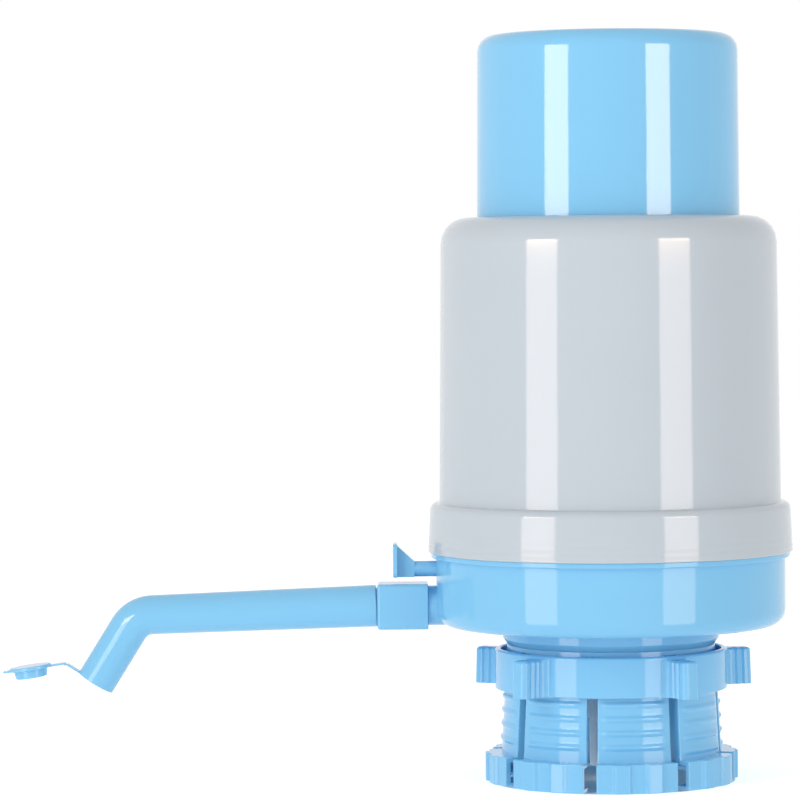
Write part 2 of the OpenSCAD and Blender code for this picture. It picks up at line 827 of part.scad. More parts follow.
// +Z out of the mouth, +X towards the strap
module at_mouth() {
    along_spout() translate([-bend_r, 0, spout_run]) rotate([0, -bend_angle, 0])
        translate([bend_r, 0, spout_drop]) children();
}

// The bend as a solid of radius r
module bend(r) {
    translate([-bend_r, 0, spout_run]) rotate([90, 0, 0])
        rotate_extrude(angle = bend_angle) translate([bend_r, 0]) circle(r = r);
}

module spout() {
    color("#84c9f0") {
        difference() {
            union() {
                along_spout() cylinder(r1 = spout_r, r2 = tip_r + tube_step, h = spout_run);
                along_spout() bend(tip_r);
                at_mouth() translate([0, 0, -spout_drop - sink])
                    cylinder(r = tip_r - tube_step, h = spout_drop + sink);
                outwards(socket_x - spout_pin_len, outlet_z)
                    cylinder(r = spout_pin_r, h = spout_pin_len + stop_gap + sink);
            }
            along_spout() translate([0, 0, 2 * cut]) cylinder(r = spout_bore_r, h = spout_run - 2 * cut);
            along_spout() bend(spout_bore_r - tube_step);
            at_mouth() translate([0, 0, -spout_drop]) cylinder(r = spout_bore_r, h = spout_drop + cut);
            outwards(socket_x - spout_pin_len - cut, outlet_z)
                cylinder(r = spout_pin_bore_r, h = spout_pin_len + stop_gap + 3 * cut);
            outwards(socket_x - spout_pin_len / 2 - ring_wire_r, outlet_z)
                pipe(spout_pin_r + cut, spout_pin_r - 2 * ring_wire_r, 2 * ring_wire_r);
        }
        at_mouth() translate([tip_r - sink, -strap_w / 2, -strap_t])
            cube([strap_reach - fit_gap - tip_r + sink, strap_w, strap_t]);
    }
}

module spout_seal() {
    color("#3f464b") outwards(socket_x - spout_pin_len / 2, outlet_z)
        o_ring(spout_pin_r - ring_wire_r, ring_wire_r - run_gap / 2);
}

// The plug as it closes the mouth, in the mouth's own directions
module closed_plug() {
    disc_r = plug_disc_d / 2;
    translate([0, 0, fit_gap]) {
        cylinder(r = disc_r, h = plug_disc_t);
        translate([-disc_r - tab_len, -strap_w / 2, 0]) cube([tab_len + disc_r, strap_w, strap_t]);
        translate([0, -strap_w / 2, 0]) cube([strap_reach - fit_gap, strap_w, strap_t]);
    }
    difference() {
        translate([0, 0, fit_gap - plug_rim_h])
            cylinder(r1 = plug_rim_tip_r, r2 = plug_rim_r, h = plug_rim_h + sink);
        translate([0, 0, fit_gap - plug_rim_h - cut])
            cylinder(r = plug_rim_tip_r - plug_rim_wall, h = plug_rim_h + cut);
    }
}

module spout_plug() {
    color("#84c9f0") at_mouth() translate([strap_reach, 0, plug_pivot_z]) rotate([0, plug_open, 0])
        translate([-strap_reach, 0, -plug_pivot_z]) closed_plug();
}

module vent_button() {
    face_x = band_r + vent_reach;
    plate_x = face_x - thumb_t;
    bottom_z = vent_z - vent_stem_r;
    top_z = bottom_z + thumb_h;
    color("#84c9f0") {
        outwards(vent_end_x, vent_z) cylinder(r = vent_stem_r, h = plate_x + sink - vent_end_x);
        outwards(plate_x, bottom_z + thumb_h / 2) linear_extrude(thumb_t)
            rounded_square(thumb_h, thumb_w, thumb_t);
        translate([0, vent_stem_r, 0]) rotate([90, 0, 0]) linear_extrude(vent_stem_d) polygon([
            [-plate_x - sink, bottom_z],
            [-plate_x - sink, top_z - thumb_t / 2],
            [-plate_x, top_z - thumb_t / 2],
            [-plate_x + gusset_foot, vent_z + vent_stem_r],
            [-plate_x + gusset_foot, bottom_z]
        ]);
    }
}

module vent_seal() {
    color("#3f464b") outwards(vent_clip_x, vent_z) pipe(vent_seal_r, vent_stem_r, vent_seal_t);
}

module vent_clip() {
    color("#b9bdc0") outwards(vent_clip_x - vent_clip_t, vent_z) pipe(vent_clip_r, vent_stem_r, vent_clip_t);
}

module vent_spring() {
    color("#b9bdc0") outwards(vent_post_x + fit_gap, vent_z)
        coil_spring(vent_spring_r, vent_spring_wire_d / 2, vent_spring_len, vent_spring_turns);
}

press_cap();
pusher_plate();
inlet_valve();
outer_cover();
bellows();
return_spring();
valve_deck();
delivery_valve();
base_dish();
water_elbow();
elbow_seal();
outlet_seal();
dip_tube_spigot();
neck_gasket();
collet();
clamp_nut();
outlet_socket();
spout();
spout_seal();
spout_plug();
vent_button();
vent_seal();
vent_clip();
vent_spring();
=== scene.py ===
"""Models and dresses the hand pump for a large water jug: its shells, collet, nut and spout."""

import json
import math

import bpy
from mathutils import Matrix, Vector


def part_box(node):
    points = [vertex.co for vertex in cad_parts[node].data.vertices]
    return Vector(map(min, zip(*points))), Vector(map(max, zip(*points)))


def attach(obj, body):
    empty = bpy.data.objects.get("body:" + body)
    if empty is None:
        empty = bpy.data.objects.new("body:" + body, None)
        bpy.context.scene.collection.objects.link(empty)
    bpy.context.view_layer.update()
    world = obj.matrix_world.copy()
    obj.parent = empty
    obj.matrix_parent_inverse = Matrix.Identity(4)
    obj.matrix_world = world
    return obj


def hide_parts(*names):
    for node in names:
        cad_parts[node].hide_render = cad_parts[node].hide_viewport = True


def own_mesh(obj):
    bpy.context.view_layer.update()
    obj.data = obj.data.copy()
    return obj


bl_info = {
    "name": "Jug Pump",
    "version": (1, 0, 0),
    "blender": (4, 5, 0),
    "location": "View3D > Sidebar > Jug Pump",
    "description": "Models and dresses a hand pump for a large water jug",
    "category": "Add Mesh",
}

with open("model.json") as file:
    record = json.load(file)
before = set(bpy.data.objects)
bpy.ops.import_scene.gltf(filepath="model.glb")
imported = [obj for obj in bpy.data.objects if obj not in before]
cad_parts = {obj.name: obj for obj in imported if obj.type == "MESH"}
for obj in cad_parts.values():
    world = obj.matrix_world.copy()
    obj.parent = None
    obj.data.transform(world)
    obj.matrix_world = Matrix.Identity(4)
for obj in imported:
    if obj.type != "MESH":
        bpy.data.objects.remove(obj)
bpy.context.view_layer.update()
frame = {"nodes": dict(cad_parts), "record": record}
MM = 0.001

# Heights in millimetres where pieces meet, and how far out the dish's neck ends
COLLET_TOP, DISH_FLOOR, OUTLET, VENT = 37.5, 42.6, 48.2, 58.3
LIP, COLLAR, ROOF = 62.9, 72.6, 154.7
NECK_END = 50.2


def linear(code):
    """The linear colour of an sRGB hex code."""
    parts = [int(code[i : i + 2], 16) / 255 for i in (1, 3, 5)]
    return tuple(p / 12.92 if p <= 0.04045 else ((p + 0.055) / 1.055) ** 2.4 for p in parts)


def length(name, description, millimetres):
    """A length that the sidebar shows in the scene's unit."""
    return bpy.props.FloatProperty(
        name=name, description=description, default=millimetres * MM, unit="LENGTH", precision=4
    )


def colour(name, description, code):
    """A colour swatch that starts from an sRGB hex code."""
    return bpy.props.FloatVectorProperty(
        name=name, description=description, default=linear(code), subtype="COLOR", min=0, max=1
    )


def tilt(name, description, degrees):
    """An angle that the sidebar shows in degrees."""
    return bpy.props.FloatProperty(
        name=name, description=description, default=math.radians(degrees), subtype="ANGLE"
    )


def wattage(name, description, watts):
    """The power of a lamp."""
    return bpy.props.FloatProperty(
        name=name, description=description, default=watts, subtype="POWER"
    )


class ShellSettings(bpy.types.PropertyGroup):
    cap_edge: length("Cap edge", "Radius of the cap's top edge", 4.5)
    roof_edge: length("Roof edge", "Radius of the cover's top edge", 7.3)
    band_edge: length("Band edge", "Radius of the band's top edge", 2.5)
    dish_edge: length("Dish edge", "Radius of the dish's lower edge", 4.5)
    ripple: length("Ripple", "Depth of the sink ripples round the band", 0.06)


class ColletSettings(bpy.types.PropertyGroup):
    slot: length("Slot", "Width of the slots between the fingers", 2.9)
    foot_slot: length("Foot slot", "Width of the slots in the flange", 3.5)
    rib_rise: length("Rib rise", "How far the ribs stand out", 0.6)
    rib_pitch: length("Rib pitch", "Spacing of the ribs", 3.8)
    lobe_rise: length("Lobe rise", "How far the flange's lobes stand out", 0.9)
    edge: length("Edge", "Rounding of the fingers' edges", 0.3)


class NutSettings(bpy.types.PropertyGroup):
    lug_width: length("Lug width", "Width of a lug", 5.4)
    groove: length("Groove", "Depth of the grooves in a lug's sides", 0.45)
    edge: length("Edge", "Rounding of the lugs' top edges", 0.9)


class OutletSettings(bpy.types.PropertyGroup):
    socket_edge: length("Socket edge", "Rounding of the socket's long edges", 1.3)
    wall: length("Spout wall", "Wall of the spout", 0.7)
    strap: length("Strap", "Thickness of the plug's strap", 0.5)
    lip: length("Lip", "Rounding of the small pieces' edges", 0.15)


class FinishSettings(bpy.types.PropertyGroup):
    blue: colour("Blue", "Cap, dish, collet, nut and spout", "#83c8ef")
    grey: colour("Grey", "Cover and its band", "#c3cbd2")
    natural: colour("Natural", "Undyed inner pieces", "#e4ebef")
    bellows: colour("Bellows", "Rubber of the bellows", "#8d979e")
    seal: colour("Seals", "Rubber of the rings and valves", "#3f464b")
    gasket: colour("Gasket", "Silicone of the neck gasket", "#eef1f2")
    steel: colour("Steel", "Springs and clip", "#b9bdc0")
    floor: colour("Floor", "Floor under the pump", "#f4f5f6")


class StageSettings(bpy.types.PropertyGroup):
    camera_height: length("Camera height", "Height of the lens above the floor", 141.4)
    camera_distance: length("Camera distance", "From the lens to the pump's axis", 1100)
    camera_side: length("Camera side", "How far left of the axis the lens stands", 57.5)
    pitch: tilt("Pitch", "How far the camera looks down", 1.907)
    roll: tilt("Roll", "How far the camera is turned about its view", -0.46)
    lens: bpy.props.FloatProperty(
        name="Lens", description="Focal length in millimetres", default=180.25, min=20
    )
    left_power: wattage("Left power", "Power of the left softbox", 6.2)
    right_power: wattage("Right power", "Power of the right softbox", 2.9)
    strip_power: wattage("Strip power", "Power of a full strip that the gloss mirrors", 2.9)
    fill: bpy.props.FloatProperty(
        name="Fill", description="Strength of the room's soft light", default=0.55, min=0
    )


def add_node(tree, kind, values=None, links=None, **settings):
    """Adds a node with its settings, its input values and its links from (node, output) pairs."""
    node = tree.nodes.new(kind)
    for name, value in settings.items():
        setattr(node, name, value)
    for key, value in (values or {}).items():
        node.inputs[key].default_value = value
    for key, (source, output) in (links or {}).items():
        tree.links.new(source.outputs[output], node.inputs[key])
    return node


def new_material(name):
    """An empty node material and its node tree."""
    material = bpy.data.materials.new(name)
    material.use_nodes = True
    material.node_tree.nodes.clear()
    return material, material.node_tree


def moulded(name, base, roughness, ior, subsurface):
    """Injection-moulded plastic: polished faces, with slow sink waves and faint flow lines."""
    material, tree = new_material(name)
    place = add_node(tree, "ShaderNodeTexCoord")
    # Flow lines of the melt, about 30 mm wide and almost as even as the colour itself
    flow = add_node(
        tree,
        "ShaderNodeTexNoise",
        {"Scale": 34.0, "Detail": 2.0, "Roughness": 0.4},
        {"Vector": (place, "Object")},
    )
    pale = tuple(min(1.0, c * 1.02) for c in base)
    deep = tuple(c * 0.98 for c in base)
    tint = add_node(
        tree,
        "ShaderNodeMix",
        {"A": (*deep, 1), "B": (*pale, 1)},
        {"Factor": (flow, "Fac")},
        data_type="RGBA",
    )
    # Sink waves, 12 mm apart, and the fine grain of the tool, 0.4 mm
    sink = add_node(
        tree, "ShaderNodeTexNoise", {"Scale": 85.0, "Detail": 1.0}, {"Vector": (place, "Object")}
    )
    grain = add_node(
        tree, "ShaderNodeTexNoise", {"Scale": 2500.0, "Detail": 2.0}, {"Vector": (place, "Object")}
    )
    waves = add_node(
        tree, "ShaderNodeBump", {"Strength": 0.05, "Distance": 0.0004}, {"Height": (sink, "Fac")}
    )
    skin = add_node(
        tree,
        "ShaderNodeBump",
        {"Strength": 0.03, "Distance": 0.00002},
        {"Height": (grain, "Fac"), "Normal": (waves, "Normal")},
    )
    # Handling leaves the gloss a little uneven
    gloss = add_node(
        tree,
        "ShaderNodeMapRange",
        {"From Min": 0.3, "From Max": 0.7, "To Min": roughness * 0.9, "To Max": roughness * 1.12},
        {"Value": (flow, "Fac")},
    )
    shader = add_node(
        tree,
        "ShaderNodeBsdfPrincipled",
        {
            "IOR": ior,
            "Subsurface Weight": subsurface,
            "Subsurface Radius": (0.6, 0.8, 1.0),
            "Subsurface Scale": 0.001,
        },
        {
            "Base Color": (tint, "Result"),
            "Roughness": (gloss, "Result"),
            "Normal": (skin, "Normal"),
        },
    )
    add_node(tree, "ShaderNodeOutputMaterial", links={"Surface": (shader, "BSDF")})
    return material


def rubbery(name, base, roughness):
    """Moulded rubber: matt skin with fine bloom and pits of about half a millimetre."""
    material, tree = new_material(name)
    place = add_node(tree, "ShaderNodeTexCoord")
    bloom = add_node(
        tree, "ShaderNodeTexNoise", {"Scale": 160.0, "Detail": 4.0}, {"Vector": (place, "Object")}
    )
    tint = add_node(
        tree,
        "ShaderNodeMix",
        {"A": (*(c * 0.86 for c in base), 1), "B": (*(min(1.0, c * 1.12) for c in base), 1)},
        {"Factor": (bloom, "Fac")},
        data_type="RGBA",
    )
    pits = add_node(
        tree, "ShaderNodeTexNoise", {"Scale": 1900.0, "Detail": 2.0}, {"Vector": (place, "Object")}
    )
    skin = add_node(
        tree, "ShaderNodeBump", {"Strength": 0.25, "Distance": 0.00005}, {"Height": (pits, "Fac")}
    )
    shader = add_node(
        tree,
        "ShaderNodeBsdfPrincipled",
        {"IOR": 1.52, "Roughness": roughness, "Sheen Weight": 0.1},
        {"Base Color": (tint, "Result"), "Normal": (skin, "Normal")},
    )
    add_node(tree, "ShaderNodeOutputMaterial", links={"Surface": (shader, "BSDF")})
    return material


def drawn_steel(name, base):
    """Drawn stainless wire: bright metal with fine streaks of the die, 0.15 mm apart."""
    material, tree = new_material(name)
    place = add_node(tree, "ShaderNodeTexCoord")
    stretch = add_node(
        tree, "ShaderNodeMapping", {"Scale": (1.0, 1.0, 9.0)}, {"Vector": (place, "Object")}
    )
    streaks = add_node(
        tree, "ShaderNodeTexNoise", {"Scale": 700.0, "Detail": 3.0}, {"Vector": (stretch, "Vector")}
    )
    rough = add_node(
        tree, "ShaderNodeMapRange", {"To Min": 0.2, "To Max": 0.42}, {"Value": (streaks, "Fac")}
    )
    shader = add_node(
        tree,
        "ShaderNodeBsdfPrincipled",
        {"Base Color": (*base, 1), "Metallic": 1.0},
        {"Roughness": (rough, "Result")},
    )
    add_node(tree, "ShaderNodeOutputMaterial", links={"Surface": (shader, "BSDF")})
    return material


def finish_of(slot):
    """The material of a slot of the record, made once."""
    names = {
        "blue_plastic": "moulded polypropylene blue",
        "grey_plastic": "moulded ABS grey",
        "natural_plastic": "moulded polypropylene natural",
        "bellows_rubber": "moulded rubber bellows",
        "dark_rubber": "moulded nitrile rubber",
        "white_silicone": "moulded silicone",
        "spring_steel": "drawn stainless wire",
    }
    found = bpy.data.materials.get(names[slot])
    if found:
        return found
    tones = bpy.context.scene.pump_finish
    if slot == "blue_plastic":
        return moulded(names[slot], tuple(tones.blue), 0.07, 1.49, 0.05)
    if slot == "grey_plastic":
        return moulded(names[slot], tuple(tones.grey), 0.08, 1.53, 0.03)
    if slot == "natural_plastic":
        return moulded(names[slot], tuple(tones.natural), 0.3, 1.49, 0.35)
    if slot == "bellows_rubber":
        return rubbery(names[slot], tuple(tones.bellows), 0.6)
    if slot == "dark_rubber":
        return rubbery(names[slot], tuple(tones.seal), 0.45)
    if slot == "white_silicone":
        return rubbery(names[slot], tuple(tones.gasket), 0.4)
    return drawn_steel(names[slot], tuple(tones.steel))


def soften(outline, steps=5):
    """A closed outline in millimetres; a corner's third number is the radius that rounds it."""
    chain = []
    for i, point in enumerate(outline):
        corner = Vector(point[:2])
        if len(point) < 3:
            chain.append(corner)
            continue
        back = Vector(outline[i - 1][:2]) - corner
        ahead = Vector(outline[(i + 1) % len(outline)][:2]) - corner
        half = back.angle(ahead) / 2
        reach = min(point[2] / math.tan(half), 0.8 * back.length, 0.8 * ahead.length)
        radius = reach * math.tan(half)
        inwards = (back.normalized() + ahead.normalized()).normalized()
        centre = corner + inwards * (radius / math.sin(half))
        first = corner + back.normalized() * reach - centre
        last = corner + ahead.normalized() * reach - centre
        start = math.atan2(first.y, first.x)
        sweep = (math.atan2(last.y, last.x) - start + math.pi) % math.tau - math.pi
        for k in range(steps + 1):
            angle = start + sweep * k / steps
            chain.append(centre + radius * Vector((math.cos(angle), math.sin(angle))))
    return chain


def polar(radius, angle, *corner):
    """A point of an outline from its radius and its angle in degrees."""
    turn = math.radians(angle)
    return (radius * math.cos(turn), radius * math.sin(turn), *corner)


def drawn(points):
    """Draws a closed chain of edges through points in millimetres, and stays in edit mode."""
    bpy.ops.object.select_all(action="DESELECT")
    bpy.ops.mesh.primitive_plane_add(size=MM)
    bpy.ops.object.mode_set(mode="EDIT")
    bpy.ops.mesh.select_mode(type="VERT")
    bpy.ops.mesh.select_all(action="SELECT")
    bpy.ops.mesh.merge(type="CENTER")
    bpy.ops.transform.translate(value=Vector(points[0]) * MM)
    for here, there in zip(points, [*points[1:], points[0]]):
        step = (Vector(there) - Vector(here)) * MM
        bpy.ops.mesh.extrude_region_move(TRANSFORM_OT_translate={"value": step})
    bpy.ops.mesh.select_all(action="SELECT")
    bpy.ops.mesh.remove_doubles(threshold=0.001 * MM)


def close_up():
    """Merges what lies on one place and points the faces outwards."""
    bpy.ops.mesh.select_all(action="SELECT")
    bpy.ops.mesh.remove_doubles(threshold=0.001 * MM)
    bpy.ops.mesh.delete_loose()
    bpy.ops.mesh.select_all(action="SELECT")
    bpy.ops.mesh.normals_make_consistent(inside=False)


def pick(test, kind="EDGE", along=None):
    """Selects the vertices or edges whose every corner, in millimetres, passes the test.

    Edges can be limited to those that run along the axis 0, 1 or 2.
    """
    bpy.ops.mesh.select_mode(type=kind)
    bpy.ops.mesh.select_all(action="DESELECT")
    bpy.ops.object.mode_set(mode="OBJECT")
    mesh = bpy.context.object.data
    inside = [test(corner.co / MM) for corner in mesh.vertices]
    if kind == "VERT":
        for corner in mesh.vertices:
            corner.select = inside[corner.index]
    else:
        for edge in mesh.edges:
            near, far = edge.vertices
            course = (mesh.vertices[far].co - mesh.vertices[near].co).normalized()
            right_way = along is None or abs(course[along]) > 0.99
            edge.select = inside[near] and inside[far] and right_way
    bpy.ops.object.mode_set(mode="EDIT")


def round_off(radius, segments=3):
    """Rounds the selected edges by a radius in millimetres."""
    bpy.ops.mesh.bevel(offset=radius * MM, offset_type="OFFSET", segments=segments, affect="EDGES")


def spun(steps, degrees, centre=(0, 0, 0), axis=(0, 0, 1), copies=False):
    """Spins the selection counter-clockwise about an axis, as a surface or as copies of it."""
    bpy.ops.mesh.spin(
        steps=steps,
        angle=-math.radians(degrees),
        center=Vector(centre) * MM,
        axis=axis,
        dupli=copies,
    )


def copied_round(count, degrees):
    """Adds so many copies of the whole piece, spread over an angle about the Z axis."""
    bpy.ops.object.mode_set(mode="EDIT")
    bpy.ops.mesh.select_all(action="SELECT")
    spun(count, degrees, copies=True)
    bpy.ops.object.mode_set(mode="OBJECT")
    return bpy.context.object


def widened(share):
    """Scales the selection away from the Z axis."""
    bpy.ops.transform.resize(value=(share, share, 1), center_override=(0, 0, 0))


def turned(outline, steps=192):
    """A solid of revolution about the Z axis, from its outline of (radius, height)."""
    drawn([(radius, 0, height) for radius, height in soften(outline)])
    spun(steps, 360)
    close_up()
    bpy.ops.object.mode_set(mode="OBJECT")
    return bpy.context.object


def round_bar(radius, low, high, steps=48):
    """A cylinder about the Z axis between two heights."""
    return turned([(0, low), (radius, low), (radius, high), (0, high)], steps)


def prism(outline, low, high):
    """A straight solid between two heights from its outline in plan; it stays in edit mode."""
    drawn([(x, y, low) for x, y in soften(outline)])
    bpy.ops.mesh.edge_face_add()
    bpy.ops.mesh.extrude_region_move(TRANSFORM_OT_translate={"value": (0, 0, (high - low) * MM)})
    close_up()
    return bpy.context.object


def block(low, high):
    """A box between two corners in millimetres; it stays in edit mode."""
    low, high = Vector(low), Vector(high)
    bpy.ops.object.select_all(action="DESELECT")
    bpy.ops.mesh.primitive_cube_add(size=1, location=(0, 0, 0))
    bpy.ops.object.mode_set(mode="EDIT")
    bpy.ops.transform.resize(value=(high - low) * MM, center_override=(0, 0, 0))
    bpy.ops.transform.translate(value=(low + high) / 2 * MM)
    return bpy.context.object


def shifted(x, y, z):
    """A move in millimetres."""
    return Matrix.Translation(Vector((x, y, z)) * MM)


def facing_out(distance, height, dip=0):
    """The frame left of the axis whose Z points away from it and dips by so many degrees."""
    return shifted(-distance, 0, height) @ Matrix.Rotation(math.radians(-90 - dip), 4, "Y")


def take_up(piece):
    """Selects one piece alone, in object mode."""
    if bpy.context.mode != "OBJECT":
        bpy.ops.object.mode_set(mode="OBJECT")
    bpy.ops.object.select_all(action="DESELECT")
    piece.select_set(True)
    bpy.context.view_layer.objects.active = piece


def placed(piece, frame_there):
    """Takes a shape from the origin to its frame and keeps that place in its mesh."""
    take_up(piece)
    piece.matrix_world = frame_there
    bpy.ops.object.transform_apply(location=True, rotation=True, scale=True)
    return piece


def modified(piece, kind, **settings):
    """Adds a modifier with its settings and applies it."""
    take_up(piece)
    bpy.ops.object.modifier_add(type=kind)
    for name, value in settings.items():
        setattr(piece.modifiers[-1], name, value)
    bpy.ops.object.modifier_apply(modifier=piece.modifiers[-1].name)
    return piece


def bored(piece, core):
    """Cuts the shape of a core out of a piece."""
    modified(piece, "BOOLEAN", operation="DIFFERENCE", solver="EXACT", object=core)
    bpy.data.objects.remove(core)
    return piece


def joined(parts):
    """Several objects as one."""
    bpy.ops.object.select_all(action="DESELECT")
    for part in parts:
        part.select_set(True)
    bpy.context.view_layer.objects.active = parts[0]
    bpy.ops.object.join()
    return bpy.context.object


def seat(piece, node, body):
    """Names a finished piece, gives it the node's finish and lets it stand for the node."""
    take_up(piece)
    bpy.ops.object.shade_smooth_by_angle(angle=math.radians(32))
    # Large faces keep their own direction, so that straight walls mirror straight
    modified(piece, "WEIGHTED_NORMAL", keep_sharp=True)
    piece.name = node + "_shell"
    slots = {part["node"]: part["material_slot"] for part in frame["record"]["subparts"]}
    piece.data.materials.append(finish_of(slots[node]))
    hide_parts(node)
    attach(piece, body)


class PUMP_OT_shells(bpy.types.Operator):
    """Turns the press cap and the cover with its band"""

    bl_idname = "pump.shells"
    bl_label = "Cap and cover"

    def execute(self, context):
        shell = context.scene.pump_shells
        self.press_cap(shell)
        self.cover(shell)
        return {"FINISHED"}

    def press_cap(self, shell):
        low, top = (corner.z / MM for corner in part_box("press_cap"))
        outline = [
            (0, top - 2),
            (0, top),
            (35.6, top, shell.cap_edge / MM),
            (36, ROOF),
            (36, ROOF - 2.2),
            # The stop ring, and the skirt that slides in the cover
            (38.4, ROOF - 2.2, 0.3),
            (38.4, ROOF - 4.2, 0.3),
            (43.5, low + 10, 0.3),
            (43.5, low, 0.4),
            (41.9, low, 0.4),
            (41.9, low + 8),
            (34, low + 8),
            (34, ROOF),
            (33.6, top - 2, 2.5),
        ]
        seat(turned(outline), "press_cap", "press_head")

    def cover(self, shell):
        low, high = (corner.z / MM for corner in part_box("outer_cover"))
        band_high, foot, draft = 13.7, 50.1, 0.7
        band = low + band_high
        outline = [(47.9, low), (foot, low, 0.35)]
        # Shallow waves where the melt shrank over the band's inner steps
        for height, depth in ((0.7, 1), (1.6, 0), (2.5, 1), (3.5, 0), (4.5, 0.8), (5.6, 0)):
            radius = foot - draft * height / band_high - depth * shell.ripple / MM
            outline.append((radius, low + height, 0.8))
        outline += [
            (foot - draft, band, shell.band_edge / MM),
            (46.95, band, 0.3),
            (46, high, shell.roof_edge / MM),
            (36.35, high, 0.5),
            (36.35, high - 2),
            (44, high - 2, shell.roof_edge / MM - 2),
            (45, COLLAR + 1.2),
            (47.9, COLLAR + 1.2),
        ]
        seat(turned(outline), "outer_cover", "base")


class PUMP_OT_collet(bpy.types.Operator):
    """Builds the collet: ribbed fingers, lobed flange feet and the ring with its tenon"""

    bl_idname = "pump.collet"
    bl_label = "Collet"

    # The first slot's angle, a finger's columns, the bore's radius and the flange's height
    first_slot, columns, bore, flange = -13.0, 36, 27.7, 7.8

    def execute(self, context):
        sizes = context.scene.pump_collet
        # It is moulded in two halves, and the ribs of one lie half a pitch below the other's
        left = self.fingers(sizes, self.first_slot + 135, 11.9)
        right = self.fingers(sizes, self.first_slot - 45, 10.0)
        seat(joined([self.ring(), left, right, self.feet(sizes)]), "collet", "base")
        return {"FINISHED"}

    def ring(self):
        return turned(
            [
                (24.8, 36.2),
                (28.67, 36.2),
                (28.6, COLLET_TOP, 0.2),
                (26.8, COLLET_TOP, 0.3),
                (26.8, DISH_FLOOR, 0.2),
                (24.8, DISH_FLOOR),
            ]
        )

    def fingers(self, sizes, start, first_crest):
        """Four fingers side by side, from the angle of their first slot and their lowest rib."""
        low, high = 7.5, 36.4
        margin = math.degrees(sizes.slot / MM / 2 / 29.2)
        span = 45 - 2 * margin
        # Rows of a rib from its crest outwards, with the share of its rise that each has
        rows = ((0, 1), (0.3, 0.86), (0.58, 0.53), (0.84, 0.18), (1.1, 0))
        crests = [first_crest + sizes.rib_pitch / MM * k for k in range(7)]
        offsets = [side * off for off, _ in rows for side in (-1, 1)]
        heights = sorted({round(crest + off, 4) for crest in crests for off in offsets})
        heights = [low, *[height for height in heights if height < 36], high]
        # The outside narrows upwards, and the bore is straight
        profile = [(30.2 - 1.6 * (h - self.flange) / 29.7, h) for h in heights]
        profile += [(self.bore, high), (self.bore, low)]
        edge = math.radians(start + margin)
        drawn([(r * math.cos(edge), r * math.sin(edge), h) for r, h in profile])
        spun(self.columns, span)
        bpy.ops.mesh.select_all(action="SELECT")
        bpy.ops.mesh.fill_holes(sides=0)
        close_up()

        def column(corner):
            turn = math.atan2(corner.y, corner.x) - edge
            return round((turn % math.tau) / math.radians(span) * self.columns)

        # The ribs rise from the smooth wall and fade out before the slots
        last = self.columns
        fades = [((k, last - k), fade) for k, fade in enumerate((0.15, 0.42, 0.7, 0.9, 0.98), 2)]
        for off, share in rows[:4]:
            for places, fade in [(range(7, last - 6), 1), *fades]:
                pick(
                    lambda c: c.xy.length > 28.2
                    and column(c) in places
                    and any(abs(abs(c.z - crest) - off) < 0.02 for crest in crests),
                    "VERT",
                )
                widened(1 + sizes.rib_rise / MM * share * fade / 29.4)
        # The slots' edges
        pick(lambda c: c.xy.length > 28.2 and column(c) in (0, last) and 7.6 < c.z < 36.3)
        round_off(sizes.edge / MM)
        return copied_round(3, 135)

    def feet(self, sizes):
        """The flange's eight sectors with their grip lobes."""
        outer = 33.9
        half = sizes.foot_slot / MM / 2
        start = self.first_slot
        near, far = math.degrees(half / outer), math.degrees(half / self.bore)
        tip = outer + sizes.lobe_rise / MM
        outline = [polar(outer, start + near, 0.4)]
        for middle in (15, 30):
            for side in (-1, 1):
                for radius, off, corner in ((outer, 4.5, 0.6), (tip, 3.1, 0.6))[:: -side]:
                    outline.append(polar(radius, start + middle + side * off, corner))
        outline.append(polar(outer, start + 45 - near, 0.4))
        for k in range(7):
            outline.append(polar(self.bore, start + 45 - far - k / 6 * (45 - 2 * far)))
        foot = prism(outline, 0, self.flange)
        for level in (0, self.flange):
            pick(lambda c: abs(c.z - level) < 0.01 and c.xy.length > 29)
            round_off(0.3)
        bpy.ops.object.mode_set(mode="OBJECT")
        # The flange is a thin skirt between two plates, open towards the neck
        bored(foot, turned([(26, 0.9), (32.3, 0.9, 0.3), (32.3, 6.5, 0.3), (26, 6.5)]))
        return copied_round(7, 315)


